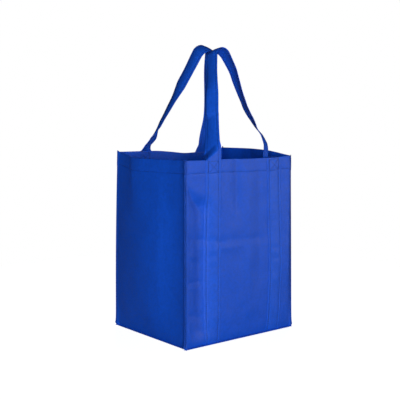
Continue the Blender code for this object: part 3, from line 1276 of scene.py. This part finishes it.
@dataclass(frozen=True)
class Lamp:
    """One square soft lamp that faces the bag.

    Its azimuth is degrees from -Y towards -X and its elevation degrees over the horizon.
    It hangs at a distance from the middle of the bag and has a size and a power, in
    metres and watts. One that doesn't light leaves matt surfaces alone, and one that
    doesn't shine shows in no reflection.
    """

    name: str
    azimuth: float
    elevation: float
    size: float
    power: float
    lights: bool = True
    shines: bool = True
    distance: float = 3.4

    def hang(self) -> None:
        """Hang the lamp."""
        turn, tilt = math.radians(self.azimuth), math.radians(self.elevation)
        flat = math.cos(tilt)
        towards = Vector((-math.sin(turn) * flat, -math.cos(turn) * flat, math.sin(tilt)))
        place = Vector((0, 0, 0.3)) + towards * self.distance
        bpy.ops.object.light_add(type="AREA", location=place)
        lamp = bpy.context.object
        lamp.name = self.name
        lamp.rotation_euler = towards.to_track_quat("Z", "Y").to_euler()
        lamp.data.shape = "SQUARE"
        lamp.data.size = self.size
        lamp.data.energy = self.power
        lamp.visible_diffuse, lamp.visible_glossy = self.lights, self.shines


class Studio:
    """The pale room, its lamps and its camera."""

    LAMPS = (
        Lamp("key_light", azimuth=33, elevation=6, size=1.3, power=104),
        Lamp("glare_light", azimuth=-38, elevation=3, size=1.0, power=50, lights=False),
        Lamp("back_light", azimuth=-138, elevation=12, size=1.6, power=70, shines=False),
    )
    EVEN_LIGHT = 0.022
    FLOOR_GLOW = 0.82
    FLOOR_FADE = (0.35, 0.9)
    WHITE = (1, 1, 1, 1)

    def camera(self) -> None:
        """Set up the camera at the photograph's place and angle."""
        bpy.ops.object.camera_add(
            location=(-1.29004, -1.63315, 0.57615),
            rotation=(math.radians(90 - 7.74), 0.0, math.radians(-37.89)),
        )
        camera = bpy.context.object
        camera.name = "photo_camera"
        camera.data.sensor_width = 36.0
        camera.data.lens = 83.286
        camera.data.clip_end = 60.0
        bpy.context.scene.camera = camera

    def floor_material(self) -> Material:
        """Wire a white floor that fades into the background away from the bag.

        Returns:
            A material that the camera sees white, and that is plain grey to all else.
        """
        kit = Shades(bpy.data.materials.new("white_floor"))
        kit.tree.nodes.remove(kit.shader)
        away = kit.vector("LENGTH", kit.node("TexCoord").outputs["Object"])
        glow = kit.out("Emission", self.WHITE, self.FLOOR_GLOW)
        near = kit.out("AddShader", glow, kit.out("BsdfDiffuse", (0.9, 0.9, 0.9, 1)))
        far = kit.out("Emission", self.WHITE, 1.0)
        faded = kit.out("MixShader", kit.out("MapRange", away, *self.FLOOR_FADE), near, far)
        plain = kit.out("BsdfDiffuse", (0.35, 0.35, 0.35, 1))
        seen = kit.out("MixShader", kit.node("LightPath").outputs["Is Camera Ray"], plain, faded)
        kit.link(seen, kit.tree.nodes["Material Output"].inputs["Surface"])
        return kit.owner

    def floor(self) -> None:
        """Lay the floor."""
        bpy.ops.object.select_all(action="DESELECT")
        bpy.ops.mesh.primitive_plane_add(size=30.0, location=(0, 0, -0.0003))
        floor = bpy.context.object
        floor.name = "studio_floor"
        floor.data.materials.append(self.floor_material())
        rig.stage(floor)

    def world(self) -> None:
        """Light the room evenly and show it white to the camera."""
        kit = Shades(bpy.data.worlds.new("pale_room"), "Background")
        rays = kit.node("LightPath").outputs["Is Camera Ray"]
        level = kit.out("MapRange", rays, 0.0, 1.0, self.EVEN_LIGHT, 1.0)
        bpy.context.scene.world = kit.finish(Color=self.WHITE, Strength=level)

    def build(self) -> None:
        """Set up the whole studio."""
        bpy.context.scene.view_settings.view_transform = "Standard"
        self.camera()
        self.floor()
        self.world()
        for lamp in self.LAMPS:
            lamp.hang()
        log.info("studio ready")


FRONT_LEFT = Corner((-0.1545, -0.1285), (-0.1535, -0.1285), 172, 170, tip_rise=1.0 * MM)
FRONT_RIGHT = Corner((0.1443, -0.1262), (0.1450, -0.1205), 14, 46, tip_rise=1.5 * MM)
BACK_RIGHT = Corner((0.1556, 0.1250), (0.1478, 0.1248), 45, 45)
BACK_LEFT = Corner((-0.1612, 0.1275), (-0.1562, 0.1205), 92, 92, lean=1.8)


def make_walls() -> dict[Side, Wall]:
    """Describe the four walls as they stand in the photograph.

    Returns:
        The walls by their side.
    """
    front = Wall(
        Side.FRONT, FRONT_LEFT, FRONT_RIGHT, seed=5, belly=2.5 * MM,
        rim=Track(((0, 0.4003), (0.169, 0.3986), (0.306, 0.3984), (0.525, 0.3958), (0.711, 0.3942),
                   (0.781, 0.3939), (0.956, 0.3954), (1, 0.3945))),
        swells=(
            Track(((0, 0), (0.5, 1.0), (0.93, 1.6), (0.975, 1.1), (1, 0))),
            Track(((0, 0), (0.5, 2.6), (0.86, 6.6), (0.90, 8.0), (0.9497, 9.4), (0.9597, 9.0),
                   (0.9698, 7.9), (0.9799, 5.9), (0.9899, 3.1), (1, 0))),
            Track(((0, 0), (0.5, 4.4), (0.86, 8.0), (0.90, 9.4), (0.9329, 10.4), (0.9497, 10.7),
                   (0.9597, 10.1), (0.9698, 8.7), (0.9799, 6.5), (0.9899, 3.5), (1, 0))),
        ),
        folds=(
            Fold((40, 300), (42, 40), 24.0, -11.0),
            Fold((3, 338), (42, 288), 5.5, -3.8, end_width=14.0),
            Fold((8, 236), (96, 222), 7.0, -1.5),
            Fold((70, 210), (150, 206), 8.0, 1.0),
            Fold((98, 224), (230, 219), 9.0, -0.8),
            Fold((3, 201), (36, 193), 5.5, 1.5),
            Fold((3, 145), (46, 140), 5.0, -1.3),
            Fold((2, 133), (30, 128), 4.5, 1.3),
            Fold((4, 75), (44, 62), 6.0, -1.2),
            Fold((166, 400), (172, 60), 14.0, 1.6),
            Fold((196, 380), (200, 120), 10.0, -1.2),
            Fold((132, 402), (134, 290), 10.0, -2.8),
            Fold((214, 402), (216, 330), 8.0, 1.1),
            Fold((8, 60), (10, 12), 3.5, 1.0),
        ),
    )
    right = Wall(
        Side.RIGHT, FRONT_RIGHT, BACK_RIGHT, seed=17, belly=6.0 * MM,
        rim=Track(((0, 0.3945), (0.31, 0.4008), (0.48, 0.4012), (0.8, 0.3992), (1, 0.3975))),
        swells=(
            Track(((0, 0), (0.5, 2.0), (1, 0))),
            Track(((0, 0), (0.12, -1.5), (0.4, 1.5), (0.7, 3.0), (0.92, -0.5), (1, 0))),
            Track(((0, 0), (0.12, -2.0), (0.4, 1.0), (0.7, 4.0), (0.92, -0.5), (1, 0))),
        ),
        folds=(
            Fold((60, 402), (75, 300), 12.0, -2.0),
            Fold((30, 240), (200, 214), 6.0, -1.0),
            Fold((150, 398), (140, 320), 10.0, 1.6),
            Fold((90, 120), (150, 60), 9.0, -1.2),
        ),
    )
    back = Wall(
        Side.BACK, BACK_RIGHT, BACK_LEFT, seed=23, belly=3.5 * MM,
        rim=Track(((0, 0.3975), (0.242, 0.3900), (0.362, 0.3896), (0.518, 0.3948), (0.661, 0.3992),
                   (1, 0.4025))),
        swells=(
            Track(((0, 0), (0.5, 1.0), (1, 0))),
            Track(((0, 0), (0.08, -1.8), (0.3, 1.2), (0.6, 1.8), (0.9, -1.2), (1, 0))),
            Track(((0, 0), (0.10, -2.2), (0.3, 0.8), (0.6, 1.0), (0.9, -1.8), (1, 0))),
        ),
        folds=(
            Fold((110, 400), (118, 320), 13.0, -2.4),
            Fold((150, 400), (146, 300), 9.0, 1.4),
            Fold((20, 232), (280, 219), 6.0, -1.0),
            Fold((255, 140), (296, 128), 5.0, -1.1),
            Fold((6, 180), (40, 192), 5.0, 1.1),
        ),
    )
    left = Wall(
        Side.LEFT, BACK_LEFT, FRONT_LEFT, seed=41, belly=3.0 * MM,
        rim=Track(((0, 0.4025), (0.335, 0.3943), (0.476, 0.3954), (0.612, 0.3961), (0.797, 0.3977),
                   (1, 0.4003))),
        swells=(
            Track(((0, 0), (0.05, 1.0), (0.20, 3.6), (0.38, 5.4), (0.48, 5.4), (0.62, 3.6),
                   (0.78, -0.8), (0.88, -1.6), (1, 0))),
            Track(((0, 0), (0.05, 1.6), (0.20, 6.0), (0.38, 8.8), (0.46, 9.0), (0.62, 6.6),
                   (0.74, 0.4), (0.82, -2.4), (0.88, -2.9), (0.94, -1.8), (1, 0))),
            Track(((0, 0), (0.05, 0.6), (0.20, 4.6), (0.30, 7.4), (0.36, 7.0), (0.48, 4.0),
                   (0.62, 0.0), (0.78, -3.6), (0.88, -3.6), (0.94, -2.0), (1, 0))),
        ),
        folds=(
            Fold((60, 402), (64, 340), 9.0, 1.0),
            Fold((150, 330), (205, 250), 14.0, 0.9),
            Fold((30, 232), (215, 221), 7.0, -0.7),
            Fold((200, 120), (235, 90), 7.0, -0.8),
        ),
    )
    return {wall.side: wall for wall in (front, right, back, left)}


def make_handles(walls: dict[Side, Wall]) -> tuple[Handle, Handle]:
    """Describe the two handle straps as the photograph shows them.

    Args:
        walls: The walls by their side.

    Returns:
        The front and the back handle.
    """
    front = Handle(
        "front_handle_strap_cloth", walls[Side.FRONT], facing=-1, middle=0.0036, foot_x=0.0822,
        foot_y=-0.1194, top_y=-0.0317, top_z=0.6299, radius=0.0208,
        left_arm=Arm(
            twist=Track(((0, 62), (0.06, 68), (0.12, 74), (0.25, 79), (0.33, 80), (0.37, 62.5),
                         (0.52, 62.5), (0.66, 82), (0.75, 86), (1, 83))),
            aside=Track(((0, 0), (0.25, -0.6), (0.39, 1.2), (0.5, 0.4), (0.75, -0.2), (1, 0))),
            proud=Track(((0, 0), (0.25, -1.2), (0.39, 1.4), (0.5, 0.5), (0.75, -0.9), (1, 0))),
            cup=Track(((0, 0), (0.2, 9), (0.8, 9), (1, 4))),
            crease=Track(((0, 0), (0.33, 4), (0.37, 47), (0.52, 45), (0.68, 10), (1, 0))),
            crease_at=8.0, inner_free=26.0, outer_free=-1.0, loosening=8.0,
        ),
        right_arm=Arm(
            twist=Track(((0, 14), (0.05, 20), (0.09, 27), (0.16, 38), (0.235, 50), (0.31, 57),
                         (0.43, 62), (0.52, 63.5), (0.68, 71), (0.8, 74), (1, 83))),
            aside=Track(((0, -17), (0.03, -10.5), (0.06, -5.5), (0.09, -1.8), (0.16, 0),
                         (0.235, -4.4), (0.31, -5), (0.37, -6.8), (0.43, -7.2), (0.5, -4.8),
                         (0.58, -3.8), (0.68, -2.6), (0.78, 0.6), (1, 0))),
            proud=Track(((0, 0), (0.25, -3.2), (0.5, -4.7), (0.75, 1.2), (1, 0))),
            cup=Track(((0, 0), (0.15, 2), (0.3, 6), (0.8, 9), (1, 4))),
            gather=Track(((0, 0.08), (0.09, 0.08), (0.16, 0.16), (0.27, 1), (1, 1))),
            crease_at=0.0, inner_free=-1.0, outer_free=-2.0, loosening=3.5, drawn_down=14.0,
        ),
        left_line=Track(((0, -84.5), (400, -84.5))),
        right_line=Track(((0, 89.5), (60, 91), (143, 92), (230, 89), (310, 86), (395, 84.5))),
        puckers=((279, 0.5), (255, -0.5), (240, 0.4), (204, 0.5), (193, -0.5), (182, 0.5),
                 (169, -0.5), (161, 0.4), (139, -0.5), (121, 0.5), (100, -0.4), (60, 0.4)),
    )
    back = Handle(
        "back_handle_strap_cloth", walls[Side.BACK], facing=1, middle=0.0061, foot_x=0.0855,
        foot_y=-0.1185, top_y=-0.0109, top_z=0.6346, radius=0.0216,
        left_arm=Arm(
            twist=Track(((0, 14), (0.03, 29), (0.09, 29), (0.17, 43), (0.245, 57), (0.32, 58.5),
                         (0.4, 62), (0.475, 64.5), (0.55, 72), (0.63, 80), (0.72, 80), (0.85, 83),
                         (1, 85))),
            aside=Track(((0, 6.5), (0.033, 5.5), (0.065, 2.2), (0.1, 0), (0.25, 0.4), (0.5, 1.0),
                         (0.6, 0.8), (0.75, -0.6), (1, 0))),
            proud=Track(((0, 0), (0.25, 0.8), (0.5, -1.2), (0.75, -0.3), (1, 0))),
            gather=Track(((0, 0.85), (0.06, 0.92), (0.12, 1), (1, 1))),
            crease_at=0.0, inner_free=0.0, outer_free=-2.0, loosening=4.0, drawn_down=12.0,
        ),
        right_arm=Arm(
            twist=Track(((0, 9.5), (0.12, 39.4), (0.3, 74.2), (0.5, 89.2), (0.75, 86.1), (1, 85))),
            aside=Track(((0, 0), (0.25, 5.0), (0.5, 0.7), (0.75, -1.4), (1, 0))),
            proud=Track(((0, 0), (0.25, -4.0), (0.5, -0.5), (0.75, 1.1), (1, 0))),
        ),
        left_line=Track(((0, -84.5), (400, -84.5))),
        right_line=Track(((0, 84.5), (400, 84.5))),
        puckers=((300, 0.4), (262, -0.5), (231, 0.5), (188, -0.4), (150, 0.5), (96, -0.4)),
    )
    return front, back


def main() -> None:
    """Build the bag and its studio."""
    logging.basicConfig(level=logging.INFO, format="%(name)s: %(message)s")
    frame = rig.load()
    log.info("the frame holds %d nodes", len(frame["nodes"]))
    lowest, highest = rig.bounds()
    sizes = [[list(lowest), list(highest)]]
    walls = make_walls()
    bag = Bag(
        walls,
        Base((FRONT_LEFT, FRONT_RIGHT, BACK_RIGHT, BACK_LEFT)),
        make_handles(walls),
        cloth=NonWovenCloth("bag_non_woven", (0.004, 0.081, 0.61)).build(),
        strap_cloth=NonWovenCloth("strap_non_woven", (0.006, 0.092, 0.66)).build(),
        # The thread's colour is partly its own dark blue and partly painted shade of the stitch grooves it lies in, so
        # it is darker than a real thread
        thread=SewingThread("blue_thread_and_painted_groove_shade", (0.0002, 0.014, 0.13)).build(),
    )
    bag.build()
    Studio().build()
    lowest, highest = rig.bounds()
    sizes.append([list(lowest), list(highest)])
    with open("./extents.json", "w") as file:
        json.dump(sizes, file)


if __name__ == "__main__":
    main()
